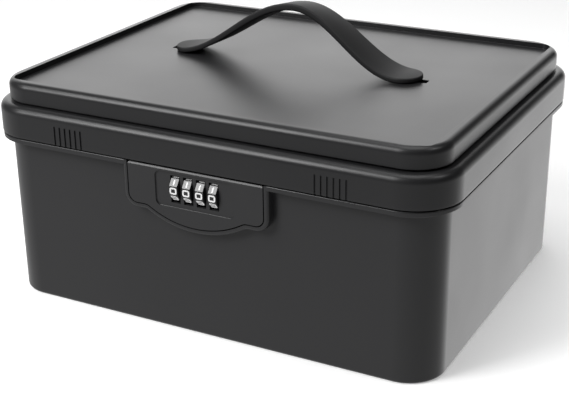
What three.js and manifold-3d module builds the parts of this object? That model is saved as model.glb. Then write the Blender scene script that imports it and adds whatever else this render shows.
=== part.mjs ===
// A lockable medicine box: a deep tub, a two-piece lid on rear pin hinges with a strap handle,
// and a latch flap that carries a four-wheel number lock.
// Millimetres. X runs to the right, Y to the back, Z up. The origin is the middle of the flat underside.

import * as THREE from 'three';
import { mergeVertices } from 'three/addons/utils/BufferGeometryUtils.js';
import Module from 'manifold-3d';

// Body
const lidWidth = 300;
const lidDepth = 239;
const lidCorner = 29;
const baseHeight = 106.4;
const seamGap = 0.8;
const wallInset = 6;
const baseWall = 2.6;
const baseFloor = 3;
const footRound = 2;
const rimHeight = 2.6;
const rimSlope = 2.6;
const frontSetback = 0.3;

// Lid
const skirtHeight = 19.2;
const skirtRound = 5;
const skirtWall = 2.5;
const ledgeThickness = 3;
const ledgeWidth = 19;
const ledgeCorner = 12;
const lipDepth = 4;
const lipWall = 1.8;
const lipClearance = 0.8;
const coverInset = 6.25;
const coverHeight = 13.3;
const coverRound = 4.5;
const coverWall = 3.6;
const revealHeight = 1.2;
const revealDepth = 1.8;
const panelRim = 7;
const panelDrop = 3.3;
const panelThickness = 2.5;
const panelCorner = 7;
const coverScrewEndInset = 40;
const coverScrewInset = 14.4;
const coverBossRadius = 3.2;

// Grip grooves in the front of the lid's skirt
const grooveCount = 6;
const groovePitch = 3.73;
const grooveWidth = 1.3;
const grooveDepth = 0.7;
const grooveHeight = 11.6;
const grooveInner = 76.5;

// Strap handle
const strapWidth = 24;
const strapThickness = 3.2;
const strapGrip = 1.2;
const strapRise = 35.5;
const strapLength = 172;
const strapFlatLeft = 4.8;
const strapFlatRight = 11;
const strapCrown = 4.3;
const strapTilt = 1.7;
const strapTwist = 2.1;
const strapBack = 6;
const neckLength = 10;
const neckTravel = 9.5;
const slotWidth = 6.3;
const slotCorner = 1;
const slotSlack = 0.5;
const sliderLength = 17;
const sliderWidth = 14;
const sliderThickness = 2;

// Rear hinges
const hingeEndInset = 70;
const hingeRadius = 3.6;
const hingePinRadius = 1.6;
const hingeKnuckle = 14;
const hingeLidKnuckle = 15.2;
const hingeStandoff = 0.5;
const hingeSideGap = 0.4;

// Latch flap
const flapHalfWidth = 44.4;
const flapTopGap = 0.5;
const flapHeight = 24.6;
const flapCorner = 5.2;
const flapTopCorner = 1.2;
const flapThickness = 3;
const flapGap = 0.7;
const bulgeRadius = 59.3;
const bulgeDrop = 9.4;
const bulgeFillet = 6.5;
const frameBand = 2.8;
const housingWall = 2.2;
const pocketDepth = 19.1;
const flapAxisBehind = 3.4;
const flapAxisBelow = 2.6;
const flapTopRound = 3.7;
const flapPinRadius = 1;
const flapBossRadius = 2.4;
const flapBossWidth = 4.5;
const flapSlotInner = 25;
const flapSlotOuter = 34.7;
const flapSlotBelow = 3.2;
const flapSkin = 0.9;
const lugWidth = 7.6;
const lugThickness = 3.6;
const lugEye = 2.2;
const lugStandoff = 4.6;
const lugPost = 2.8;
const lugFootGap = 4.5;

// Number wheels
const wheelCount = 4;
const wheelPitch = 8.5;
const wheelWidth = 5.6;
const wheelRadius = 8.5;
const wheelChamfer = 0.4;
const digitCount = 10;
const lockBehind = 6.2;
const lockBelow = 12.4;
const recessHalfWidth = 25.8;
const recessBelow = 2.4;
const recessHeight = 21;
const recessCorner = 3;
const recessDepth = 0.8;
const windowBar = 0.7;
const windowWidth = 6.3;
const windowHalfHeight = 8.4;
const wheelWebLeft = -1.3;
const wheelWebRight = 0.1;
const wheelHollow = 4.6;
const splineCount = 5;
const splineTip = 2.8;
const splineWidth = 0.6;

// Gate sleeves, shaft and reset
const shaftRadius = 0.9;
const hubRadius = 1.8;
const hubEndGap = 0.3;
const sleeveRadius = 4.2;
const sleeveRingWall = 0.7;
const sleeveWebLeft = 2.1;
const sleeveWebRight = 3.1;
const sleeveRingRight = 4.2;
const swingGateAngle = 33;
const swingGateWidth = 1.7;
const liftGateFront = 1.7;
const liftGateBack = 3.4;
const resetTravel = 1.6;
const resetKnobRadius = 2.8;
const resetKnobLength = 4;
const springWire = 0.2;
const springRadius = 1.6;
const springTurns = 2;

// Carrier behind the flap
const cheekInner = 19.8;
const cheekThickness = 2.2;
const cheekDepth = 12.5;
const cheekRise = 4;
const carrierFoot = 8;
const carrierFootHeight = 7.6;
const carrierFootThickness = 1.4;
const trayGap = 1.6;
const trayThickness = 1.4;
const trayBack = 1.6;
const leafThickness = 0.5;
const leafWidth = 4.4;
const leafRise = 0.5;

// Keeper comb in the tub's pocket
const keeperHeight = 8;
const keeperThickness = 1.1;
const keeperHalfWidth = 20;
const prongThickness = 0.9;
const prongHeight = 1.1;
const prongReach = 2;
const prongRise = 0.95;
const prongGap = 0.3;
const earWidth = 0.75;
const earRadius = 0.4;

// Fasteners and running fits
const screwRadius = 1.2;
const screwHeadRadius = 2.2;
const screwHeadHeight = 1.3;
const fit = 0.3;
const pinFit = 0.1;
const overrun = 5;

// Places that several pieces share
const halfWidth = lidWidth / 2;
const halfDepth = lidDepth / 2;
const lidBottom = baseHeight + seamGap;
const ledgeTop = lidBottom + skirtHeight;
const ledgeBottom = ledgeTop - ledgeThickness;
const coverTop = ledgeTop + coverHeight;
const panelTop = coverTop - panelDrop;
const panelBottom = panelTop - panelThickness;
const tubInset = wallInset + baseWall;
const hingeY = halfDepth + hingeRadius + hingeStandoff;
const hingeZ = (baseHeight + lidBottom) / 2;
const hingeCentres = [hingeEndInset - halfWidth, halfWidth - hingeEndInset];
const hingeHalfLength = hingeLidKnuckle / 2 + hingeSideGap + hingeKnuckle;
const coverScrewX = halfWidth - coverScrewEndInset;
const flapFront = frontSetback - halfDepth;
const flapBack = flapFront + flapThickness;
const flapTop = baseHeight - flapTopGap;
const flapBottom = flapTop - flapHeight;
const bulgeBottom = flapBottom - bulgeDrop;
const flapAxisY = flapFront + flapAxisBehind;
const flapAxisZ = flapTop - flapAxisBelow;
const lockY = flapFront + lockBehind;
const lockHeight = flapTop - lockBelow;
const recessTop = flapTop - recessBelow;
const recessBottom = recessTop - recessHeight;
const trayTop = lockHeight - wheelRadius - trayGap;
const pocketBack = flapFront + pocketDepth;
const strapLeftReach = strapLength / 2 + strapCrown - strapFlatLeft;
const strapRightReach = strapLength / 2 - strapCrown - strapFlatRight;
const slotOuter = strapLength / 2 + neckLength / 2 - slotSlack * 2;
const neckCentre = slotOuter - slotSlack - neckTravel - neckLength / 2;
const slotInner = neckCentre - neckLength / 2 - slotSlack;
const strapBottom = panelTop + fit;
const keeperZ = lockHeight + prongRise + prongHeight / 2;
const keeperFront = pocketBack - fit - keeperThickness;
const keeperScrewX = wheelPitch * 3 / 2;
const wheelCentres = Array.from({ length: wheelCount }, (_, i) => (i - (wheelCount - 1) / 2) * wheelPitch);
const sides = [['left', -1], ['right', 1]];

// Materials
const plastic = (color, roughness) => new THREE.MeshStandardMaterial({ color, roughness, metalness: 0 });
const steel = (color, roughness) => new THREE.MeshStandardMaterial({ color, roughness, metalness: 1 });
const tubPlastic = () => plastic(0x2b2b2c, 0.55);
const lidPlastic = () => plastic(0x2d2d2e, 0.52);
const strapRubber = () => plastic(0x232323, 0.7);
const wheelPlastic = () => plastic(0x141414, 0.4);
const innerPlastic = () => plastic(0x1c1c1d, 0.6);
const brightSteel = () => steel(0xb9bbbd, 0.35);
const springSteel = () => steel(0x9c9ea0, 0.3);

const wasm = await Module();
wasm.setup();

// Solids and cuts

function solid(geometry) {
  const bare = geometry.clone();
  bare.deleteAttribute('normal');
  bare.deleteAttribute('uv');
  const merged = mergeVertices(bare);
  return new wasm.Manifold(new wasm.Mesh({
    numProp: merged.attributes.position.itemSize,
    vertProperties: Float32Array.from(merged.attributes.position.array),
    triVerts: Uint32Array.from(merged.index.array),
  }));
}

const join = (first, ...others) => others.reduce((body, next) => body.add(next), first);
const cut = (first, ...tools) => tools.reduce((body, tool) => body.subtract(tool), first);

function mesh(name, body, material) {
  const { numProp, vertProperties, triVerts } = body.getMesh();
  const geometry = new THREE.BufferGeometry();
  geometry.setAttribute('position', new THREE.BufferAttribute(vertProperties, numProp));
  geometry.setIndex(new THREE.BufferAttribute(triVerts, 1));
  geometry.computeVertexNormals();
  const piece = new THREE.Mesh(geometry, material);
  piece.name = name;
  return piece;
}

function box(x0, x1, y0, y1, z0, z1) {
  const shape = new THREE.BoxGeometry(x1 - x0, y1 - y0, z1 - z0);
  shape.translate((x0 + x1) / 2, (y0 + y1) / 2, (z0 + z1) / 2);
  return solid(shape);
}

// The same box on the left or right side, its X given from the middle outwards.
function sideBox(side, inner, outer, y0, y1, z0, z1) {
  return box(Math.min(side * inner, side * outer), Math.max(side * inner, side * outer), y0, y1, z0, z1);
}

function rodX(radius, x0, x1, y, z, segments = 24) {
  const shape = new THREE.CylinderGeometry(radius, radius, Math.abs(x1 - x0), segments);
  shape.rotateZ(Math.PI / 2);
  shape.translate((x0 + x1) / 2, y, z);
  return solid(shape);
}

function rodY(radius, y0, y1, x, z, segments = 16) {
  const shape = new THREE.CylinderGeometry(radius, radius, y1 - y0, segments);
  shape.translate(x, (y0 + y1) / 2, z);
  return solid(shape);
}

function rodZ(radius, z0, z1, x, y, segments = 16) {
  const shape = new THREE.CylinderGeometry(radius, radius, z1 - z0, segments);
  shape.rotateX(Math.PI / 2);
  shape.translate(x, y, (z0 + z1) / 2);
  return solid(shape);
}

function rectangle(x0, x1, y0, y1, corner) {
  const quarter = Math.PI / 2;
  const shape = new THREE.Shape();
  shape.absarc(x1 - corner, y1 - corner, corner, 0, quarter);
  shape.absarc(x0 + corner, y1 - corner, corner, quarter, quarter * 2);
  shape.absarc(x0 + corner, y0 + corner, corner, quarter * 2, quarter * 3);
  shape.absarc(x1 - corner, y0 + corner, corner, quarter * 3, quarter * 4);
  return shape;
}

// A rectangle with round corners, drawn a given distance inside the lid's outline.
function inside(inset, corner = lidCorner - inset) {
  return rectangle(inset - halfWidth, halfWidth - inset, inset - halfDepth, halfDepth - inset, corner);
}

// Upright prism between two heights.
function upright(shape, z0, z1, curveSegments = 8) {
  const body = new THREE.ExtrudeGeometry(shape, { depth: z1 - z0, bevelEnabled: false, curveSegments });
  body.translate(0, 0, z0);
  return solid(body);
}

// Upright prism that swells outwards between its ends.
function swollen(shape, z0, z1, size, height, bevelSegments, curveSegments = 8) {
  const body = new THREE.ExtrudeGeometry(shape, {
    depth: z1 - z0 - height * 2, bevelSize: size, bevelThickness: height, bevelSegments, curveSegments,
  });
  body.translate(0, 0, z0 + height);
  return solid(body);
}

// Prism of a front view, between two depths.
function frontal(shape, y0, y1, curveSegments = 7) {
  const body = new THREE.ExtrudeGeometry(shape, { depth: y1 - y0, bevelEnabled: false, curveSegments });
  body.rotateX(Math.PI / 2);
  body.translate(0, y1, 0);
  return solid(body);
}

// Prism of a side view, whose points are Y and Z, between two places along X.
function sideways(points, x0, x1) {
  const shape = new THREE.Shape(points.map(([y, z]) => new THREE.Vector2(y, z)));
  const body = new THREE.ExtrudeGeometry(shape, { depth: x1 - x0, bevelEnabled: false });
  body.rotateX(Math.PI / 2);
  body.rotateZ(Math.PI / 2);
  body.translate(x0, 0, 0);
  return solid(body);
}

// A pan-head screw whose head bears on z = 0 and whose shank runs up.
function screw(name, length, position, turn) {
  const outline = [
    [0, -screwHeadHeight], [screwHeadRadius - screwHeadHeight / 2, -screwHeadHeight],
    [screwHeadRadius, -screwHeadHeight / 2], [screwHeadRadius, 0], [screwRadius, 0],
    [screwRadius, length - screwRadius / 2], [screwRadius / 2, length], [0, length],
  ];
  const turned = new THREE.LatheGeometry(outline.map(([r, z]) => new THREE.Vector2(r, z)), 12);
  turned.rotateX(Math.PI / 2);
  const slot = screwHeadHeight / 4;
  const drive = box(-overrun, overrun, -slot, slot, -overrun, -screwHeadHeight / 2);
  const piece = mesh(name, cut(solid(turned), drive), brightSteel());
  piece.position.set(...position);
  piece.rotation.x = turn;
  return piece;
}

// Outline of the latch flap seen from the front, grown by a distance and ending at a given top.
function flapOutline(grow, top, topCorner = 0) {
  const side = flapHalfWidth + grow;
  const bottom = flapBottom - grow;
  const corner = flapCorner + grow;
  const bulgeCentre = bulgeBottom + bulgeRadius;
  const fillet = bulgeFillet - grow;
  const filletZ = flapBottom - bulgeFillet;
  const filletX = Math.sqrt((bulgeRadius + bulgeFillet) ** 2 - (bulgeCentre - filletZ) ** 2);
  const lean = Math.atan2(bulgeCentre - filletZ, filletX);
  const quarter = Math.PI / 2;
  const shape = new THREE.Shape();
  shape.moveTo(-side, top - topCorner);
  shape.absarc(corner - side, bottom + corner, corner, Math.PI, Math.PI + quarter);
  if (fillet > 0) shape.absarc(-filletX, filletZ, fillet, quarter, lean, true);
  shape.absarc(0, bulgeCentre, bulgeRadius + grow, Math.PI + lean, -lean);
  if (fillet > 0) shape.absarc(filletX, filletZ, fillet, Math.PI - lean, quarter, true);
  shape.absarc(side - corner, bottom + corner, corner, -quarter, 0);
  if (topCorner > 0) {
    shape.absarc(side - topCorner, top - topCorner, topCorner, 0, quarter);
    shape.absarc(topCorner - side, top - topCorner, topCorner, quarter, Math.PI);
  } else {
    shape.lineTo(side, top);
    shape.lineTo(-side, top);
  }
  return shape;
}

// Base

function tubShell() {
  const foot = swollen(inside(wallInset + footRound), 0, baseHeight - footRound, footRound, footRound, 2);
  const swell = wallInset - frontSetback;
  const rimBottom = baseHeight - rimHeight - rimSlope;
  const rim = cut(
    swollen(inside(wallInset), rimBottom, baseHeight + rimSlope + overrun, swell, rimSlope, 1),
    box(-lidWidth, lidWidth, -lidDepth, lidDepth, baseHeight, baseHeight + lidDepth),
  );
  const cavity = swollen(inside(tubInset + footRound), baseFloor, baseHeight + overrun + footRound,
    footRound, footRound, 1);
  return cut(join(foot, rim), cavity);
}

function baseKnuckles() {
  return hingeCentres.flatMap((x) => sides.map(([, side]) => {
    const inner = x + side * (hingeLidKnuckle / 2 + hingeSideGap);
    const outer = inner + side * hingeKnuckle;
    const x0 = Math.min(inner, outer);
    const x1 = Math.max(inner, outer);
    const arm = box(x0, x1, halfDepth - tubInset / 2, hingeY, hingeZ - hingeRadius, baseHeight);
    return join(rodX(hingeRadius, x0, x1, hingeY, hingeZ), arm);
  }));
}

function baseTub() {
  const tubInner = tubInset - halfDepth;
  const frame = frontal(flapOutline(flapGap + frameBand, baseHeight), flapFront, tubInner);
  const housing = frontal(flapOutline(flapGap + housingWall, baseHeight), tubInner - baseWall / 2,
    pocketBack + housingWall);
  const pocket = frontal(flapOutline(flapGap, baseHeight + overrun), flapFront - overrun, pocketBack);
  const screwHoles = sides.map(([, side]) => rodY(screwRadius + fit, pocketBack - overrun,
    pocketBack + housingWall + overrun, side * keeperScrewX, keeperZ));
  const body = join(cut(join(tubShell(), frame, housing), pocket, ...screwHoles), ...baseKnuckles());
  return mesh('base_tub', cut(body, ...hingeBores()), tubPlastic());
}

function hingeBores() {
  const half = hingeHalfLength + overrun;
  return hingeCentres.map((x) => rodX(hingePinRadius + pinFit, x - half, x + half, hingeY, hingeZ, 16));
}

function hingePins() {
  return sides.map(([word], i) => {
    const x = hingeCentres[i];
    const pin = rodX(hingePinRadius, x - hingeHalfLength, x + hingeHalfLength, hingeY, hingeZ, 16);
    return mesh(`hinge_pin_${word}`, pin, brightSteel());
  });
}

function keeperComb() {
  const z0 = keeperZ - prongHeight / 2;
  const z1 = keeperZ + prongHeight / 2;
  const tip = lockY + prongReach;
  const plate = box(-keeperHalfWidth, keeperHalfWidth, keeperFront, pocketBack - fit,
    keeperZ - keeperHeight / 2, keeperZ + keeperHeight / 2);
  const prongs = wheelCentres.map((x) => {
    const left = x + sleeveRingRight + prongGap;
    const prong = box(left, left + prongThickness, tip, keeperFront + keeperThickness / 2, z0, z1);
    const ear = rodX(earRadius, left - earWidth, left + prongThickness / 2, tip + earRadius, keeperZ, 12);
    return join(prong, ear);
  });
  const holes = sides.map(([, side]) => rodY(screwRadius + fit, keeperFront - overrun, pocketBack + overrun,
    side * keeperScrewX, keeperZ));
  return mesh('keeper_comb', cut(join(plate, ...prongs), ...holes), brightSteel());
}

function keeperScrews() {
  const length = keeperThickness + fit * 2 + housingWall;
  return sides.map(([word, side]) => screw(`keeper_screw_${word}`, length,
    [side * keeperScrewX, keeperFront - fit, keeperZ], -Math.PI / 2));
}

// Lid

function coverScrewPlaces() {
  const y = halfDepth - coverScrewInset;
  return [[-coverScrewX, -y], [coverScrewX, -y], [-coverScrewX, y], [coverScrewX, y]];
}

function skirt() {
  const outer = cut(
    swollen(inside(skirtRound), lidBottom - skirtRound * 2, ledgeTop, skirtRound, skirtRound, 3),
    box(-lidWidth, lidWidth, -lidDepth, lidDepth, lidBottom - lidDepth, lidBottom),
  );
  const hollow = upright(inside(skirtWall), lidBottom - overrun, ledgeBottom);
  const opening = upright(inside(ledgeWidth, ledgeCorner), lidBottom, ledgeTop + overrun);
  const grooves = sides.flatMap(([, side]) => Array.from({ length: grooveCount }, (_, i) => {
    const x = grooveInner + i * groovePitch;
    return sideBox(side, x - grooveWidth / 2, x + grooveWidth / 2,
      -halfDepth - overrun, grooveDepth - halfDepth, lidBottom - overrun, lidBottom + grooveHeight);
  }));
  return cut(outer, hollow, opening, ...grooves);
}

// Ring that drops inside the tub's rim, and stops short of the latch pocket.
function locatingLip() {
  const inset = tubInset + lipClearance;
  const lip = cut(
    upright(inside(inset), baseHeight - lipDepth, ledgeBottom + ledgeThickness / 2),
    upright(inside(inset + lipWall), baseHeight - overrun * 2, ledgeTop + overrun),
  );
  const clear = flapHalfWidth + flapGap + housingWall + lipClearance;
  return cut(lip, box(-clear, clear, -halfDepth, 0, 0, lidBottom));
}

// Ears that hang from the lid into the latch pocket and carry the flap's pins.
function latchLug(side) {
  const inner = (flapSlotInner + flapSlotOuter - lugWidth) / 2;
  const outer = inner + lugWidth;
  const postFront = flapAxisY + lugStandoff - lugPost / 2;
  const postBack = postFront + lugPost;
  const root = ledgeBottom + ledgeThickness / 2;
  const eye = rodX(lugEye, side * inner, side * outer, flapAxisY, flapAxisZ);
  const half = lugThickness / 2;
  const arm = sideBox(side, inner, outer, flapAxisY, postBack, flapAxisZ - half, flapAxisZ + half);
  const post = sideBox(side, inner, outer, postFront, postBack, flapAxisZ - half, root);
  const webFront = skirtWall * 3 / 4 - halfDepth;
  const web = sideBox(side, inner, outer, webFront, postBack, lidBottom + lugFootGap, root);
  return join(eye, arm, post, web);
}

function lidKnuckle(x) {
  const x0 = x - hingeLidKnuckle / 2;
  const x1 = x + hingeLidKnuckle / 2;
  const arm = box(x0, x1, halfDepth - skirtWall / 2, hingeY, lidBottom, hingeZ + hingeRadius);
  return join(rodX(hingeRadius, x0, x1, hingeY, hingeZ), arm);
}

function lidFrame() {
  const body = join(skirt(), locatingLip(), latchLug(-1), latchLug(1), ...hingeCentres.map(lidKnuckle));
  const lugHole = rodX(flapPinRadius + pinFit, -flapHalfWidth, flapHalfWidth, flapAxisY, flapAxisZ, 16);
  const screwHoles = coverScrewPlaces().map(([x, y]) => rodZ(screwRadius + fit, ledgeBottom - overrun,
    ledgeTop + overrun, x, y));
  return mesh('lid_frame', cut(body, lugHole, ...hingeBores(), ...screwHoles), lidPlastic());
}

function lidCover() {
  const bodyBottom = ledgeTop + revealHeight;
  const outer = cut(
    swollen(inside(coverInset + coverRound), bodyBottom - coverRound * 2, coverTop,
      coverRound, coverRound, 3),
    box(-lidWidth, lidWidth, -lidDepth, lidDepth, bodyBottom - lidDepth, bodyBottom),
  );
  const foot = upright(inside(coverInset + revealDepth), ledgeTop + fit, bodyBottom + revealHeight);
  const hollow = upright(inside(coverInset + coverWall), ledgeTop - overrun, panelBottom);
  const recess = upright(inside(coverInset + panelRim, panelCorner), panelTop, coverTop + overrun);
  const bosses = coverScrewPlaces().map(([x, y]) => rodZ(coverBossRadius, ledgeTop + fit,
    panelBottom + panelThickness / 2, x, y));
  const screwHoles = coverScrewPlaces().map(([x, y]) => rodZ(screwRadius + fit, ledgeTop - overrun,
    panelBottom - fit, x, y));
  const slots = sides.map(([, side]) => upright(
    rectangle(Math.min(side * slotInner, side * slotOuter), Math.max(side * slotInner, side * slotOuter),
      strapBack - slotWidth / 2, strapBack + slotWidth / 2, slotCorner),
    panelBottom - overrun, panelTop + overrun, 3));
  const tray = join(cut(join(outer, foot), hollow, recess), ...bosses);
  return mesh('lid_cover', cut(tray, ...screwHoles, ...slots), lidPlastic());
}

function coverScrews() {
  const length = panelBottom - ledgeBottom - fit;
  return coverScrewPlaces().map(([x, y], i) => screw(`cover_screw_${i + 1}`, length,
    [x, y, ledgeBottom - fit], 0));
}

// Strap

// How far the strap has risen at a place along it, from none at its ends to all at its crown. The crown is
// right of the middle. Across runs from -1 at the front edge to 1 at the rear edge.
function strapShare(x, across) {
  const reach = x < strapCrown ? strapLeftReach : strapRightReach + strapTwist * across;
  const reachShare = Math.min(Math.abs(x - strapCrown) / reach, 1);
  return Math.cos(Math.PI / 2 * reachShare) ** 2;
}

function strapCentre(x, across) {
  return strapBottom + strapThickness / 2 + (strapRise - strapTilt * across) * strapShare(x, across);
}

function handleStrap() {
  const steps = 36;
  const points = Array.from({ length: steps + 1 }, (_, i) => {
    const x = (i / steps - 1 / 2) * strapLength;
    return new THREE.Vector2(x, strapCentre(x, 0));
  });
  const across = points.map((point, i) => {
    const before = points[Math.max(i - 1, 0)];
    const after = points[Math.min(i + 1, steps)];
    const along = after.clone().sub(before).normalize();
    const thickness = strapThickness + strapGrip * strapShare(point.x, 0);
    return new THREE.Vector2(-along.y, along.x).multiplyScalar(thickness / 2);
  });
  const upper = points.map((point, i) => point.clone().add(across[i]));
  const lower = points.map((point, i) => point.clone().sub(across[i]));
  const band = frontal(new THREE.Shape([...lower, ...upper.reverse()]), strapBack - strapWidth / 2,
    strapBack + strapWidth / 2);
  const ends = upright(
    rectangle(-strapLength / 2, strapLength / 2, strapBack - strapWidth / 2, strapBack + strapWidth / 2,
      strapWidth / 2),
    panelTop - overrun, panelTop + strapRise * 2, 12);
  const holes = sides.map(([, side]) => rodZ(screwRadius + fit, strapBottom - overrun,
    strapBottom + strapThickness / 2 + fit, side * neckCentre, strapBack));
  const twisted = cut(band.intersect(ends), ...holes).warp((vert) => {
    const offset = (vert[1] - strapBack) * 2 / strapWidth;
    vert[2] += strapCentre(vert[0], offset) - strapCentre(vert[0], 0);
  });
  return mesh('handle_strap', twisted, strapRubber());
}

// T-shaped end that runs in its slot with its plate under the panel.
function strapSlider(word, side) {
  const plateTop = panelBottom - fit;
  const plateBottom = plateTop - sliderThickness;
  const x = side * neckCentre;
  const plate = box(x - sliderLength / 2, x + sliderLength / 2, strapBack - sliderWidth / 2,
    strapBack + sliderWidth / 2, plateBottom, plateTop);
  const neckHalf = slotWidth / 2 - slotSlack;
  const neck = box(x - neckLength / 2, x + neckLength / 2, strapBack - neckHalf, strapBack + neckHalf,
    plateBottom, panelTop);
  const hole = rodZ(screwRadius + fit, plateBottom - overrun, panelTop + overrun, x, strapBack);
  return mesh(`strap_slider_${word}`, cut(join(plate, neck), hole), innerPlastic());
}

function strapScrew(word, side) {
  const head = panelBottom - fit - sliderThickness - fit;
  return screw(`strap_screw_${word}`, strapBottom + strapThickness / 2 - head,
    [side * neckCentre, strapBack, head], 0);
}

// Latch flap

function latchFlap() {
  const plate = frontal(flapOutline(0, flapTop, flapTopCorner), flapFront, flapBack);
  const ends = [flapSlotInner - flapBossWidth, flapSlotOuter];
  const bosses = sides.flatMap(([, side]) => ends.map((inner) => join(
    rodX(flapBossRadius, side * inner, side * (inner + flapBossWidth), flapAxisY, flapAxisZ),
    sideBox(side, inner, inner + flapBossWidth, flapBack - flapThickness / 2, flapAxisY + flapBossRadius / 2,
      flapAxisZ - flapBossRadius * 2, flapAxisZ),
  )));
  const topEdge = cut(
    box(-flapHalfWidth - overrun, flapHalfWidth + overrun, flapFront - overrun, flapAxisY, flapAxisZ,
      flapTop + overrun),
    rodX(flapTopRound, -flapHalfWidth - overrun * 2, flapHalfWidth + overrun * 2, flapAxisY, flapAxisZ, 48),
  );
  const lugSlots = sides.map(([, side]) => sideBox(side, flapSlotInner, flapSlotOuter, flapFront + flapSkin,
    flapBack + overrun, flapAxisZ - flapSlotBelow, flapTop + overrun));
  const recess = frontal(rectangle(-recessHalfWidth, recessHalfWidth, recessBottom, recessTop, recessCorner),
    flapFront - overrun, flapFront + recessDepth, 4);
  const windows = wheelCentres.map((x) => box(x - windowWidth / 2, x + windowWidth / 2, flapFront - overrun,
    flapBack + overrun, lockHeight - windowHalfHeight, lockHeight + windowHalfHeight));
  const reliefHalfHeight = sleeveRadius + fit * 2;
  const relief = box(fit - cheekInner, cheekInner - fit,
    flapFront + recessDepth + windowBar, flapBack + overrun,
    lockHeight - reliefHalfHeight, lockHeight + reliefHalfHeight);
  const pinHalf = flapSlotOuter + flapBossWidth - fit;
  const pinHole = rodX(flapPinRadius + pinFit, -pinHalf, pinHalf, flapAxisY, flapAxisZ, 16);
  const screwHoles = sides.map(([, side]) => rodY(screwRadius + fit, flapFront + flapSkin, flapBack + overrun,
    side * (cheekInner + cheekThickness + carrierFoot / 2), carrierScrewZ()));
  const body = join(cut(plate, topEdge), ...bosses);
  return mesh('latch_flap', cut(body, ...lugSlots, recess, ...windows, relief, pinHole, ...screwHoles),
    tubPlastic());
}

function latchPins() {
  const inner = flapSlotInner - flapBossWidth + fit;
  const outer = flapSlotOuter + flapBossWidth - fit * 2;
  return sides.map(([word, side]) => mesh(`latch_pin_${word}`,
    rodX(flapPinRadius, side * inner, side * outer, flapAxisY, flapAxisZ, 16), brightSteel()));
}

// Lock carrier

function carrierScrewZ() {
  return trayTop - trayThickness + carrierFootHeight / 2;
}

function lockCarrier() {
  const front = flapBack + fit;
  const back = flapFront + cheekDepth;
  const bottom = trayTop - trayThickness;
  const cheekOuter = cheekInner + cheekThickness;
  const cheeks = sides.map(([, side]) => sideBox(side, cheekInner, cheekOuter, front, back, bottom,
    lockHeight + cheekRise));
  const tray = box(-cheekOuter, cheekOuter, front, lockY + trayBack, bottom, trayTop);
  const feet = sides.map(([, side]) => sideBox(side, cheekInner, cheekOuter + carrierFoot, front,
    front + carrierFootThickness, bottom, bottom + carrierFootHeight));
  const shaftHole = rodX(shaftRadius + pinFit, -cheekOuter - overrun, cheekOuter + overrun,
    lockY, lockHeight, 16);
  const screwHoles = sides.map(([, side]) => rodY(screwRadius + fit, front - overrun, back + overrun,
    side * (cheekOuter + carrierFoot / 2), carrierScrewZ()));
  return mesh('lock_carrier', cut(join(tray, ...cheeks, ...feet), shaftHole, ...screwHoles), innerPlastic());
}

function carrierScrews() {
  const head = flapBack + fit + carrierFootThickness + fit;
  return sides.map(([word, side]) => screw(`carrier_screw_${word}`, head - flapFront - flapSkin - fit * 2,
    [side * (cheekInner + cheekThickness + carrierFoot / 2), head, carrierScrewZ()], Math.PI / 2));
}

// One leaf under each wheel, on a strip in front.
function detentSpring() {
  const low = trayTop + fit;
  const high = low + leafThickness;
  const front = lockY - wheelWidth / 2;
  const crest = lockY + leafRise;
  const leaf = [
    [front, low], [lockY + trayBack - fit, low], [lockY + trayBack - fit, high], [crest, high + leafRise],
    [lockY - leafRise * 2, high], [front, high],
  ];
  const leaves = wheelCentres.map((x) => sideways(leaf, x - leafWidth / 2, x + leafWidth / 2));
  const end = wheelCentres[wheelCount - 1] + leafWidth / 2;
  const strip = box(-end, end, flapBack + fit * 2, front + leafThickness, low, high);
  return mesh('detent_spring', join(strip, ...leaves), springSteel());
}

// Number wheels, gate sleeves and shaft

function dialWheel(x, i) {
  const half = wheelWidth / 2;
  const outline = [
    [0, -half], [wheelRadius - wheelChamfer, -half], [wheelRadius, wheelChamfer - half],
    [wheelRadius, half - wheelChamfer], [wheelRadius - wheelChamfer, half], [0, half],
  ];
  const turned = new THREE.LatheGeometry(outline.map(([r, a]) => new THREE.Vector2(r, a)), digitCount);
  turned.rotateZ(-Math.PI / 2);
  const bore = hubRadius + fit;
  const socket = splineTip + fit;
  const slotHalf = splineWidth / 2 + fit;
  const slots = Array.from({ length: splineCount }, (_, k) => {
    const slot = new THREE.BoxGeometry(overrun * 2, slotHalf * 2, socket * 2);
    slot.rotateX(Math.PI * k / splineCount);
    return solid(slot);
  });
  const body = cut(solid(turned),
    rodX(bore, -overrun, overrun, 0, 0, 20),
    rodX(socket, -overrun, wheelWebLeft, 0, 0, 20),
    rodX(wheelHollow, wheelWebRight, overrun, 0, 0),
    ...slots);
  const piece = mesh(`dial_wheel_${i + 1}`, body, wheelPlastic());
  piece.position.set(x, lockY, lockHeight);
  return piece;
}

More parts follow.
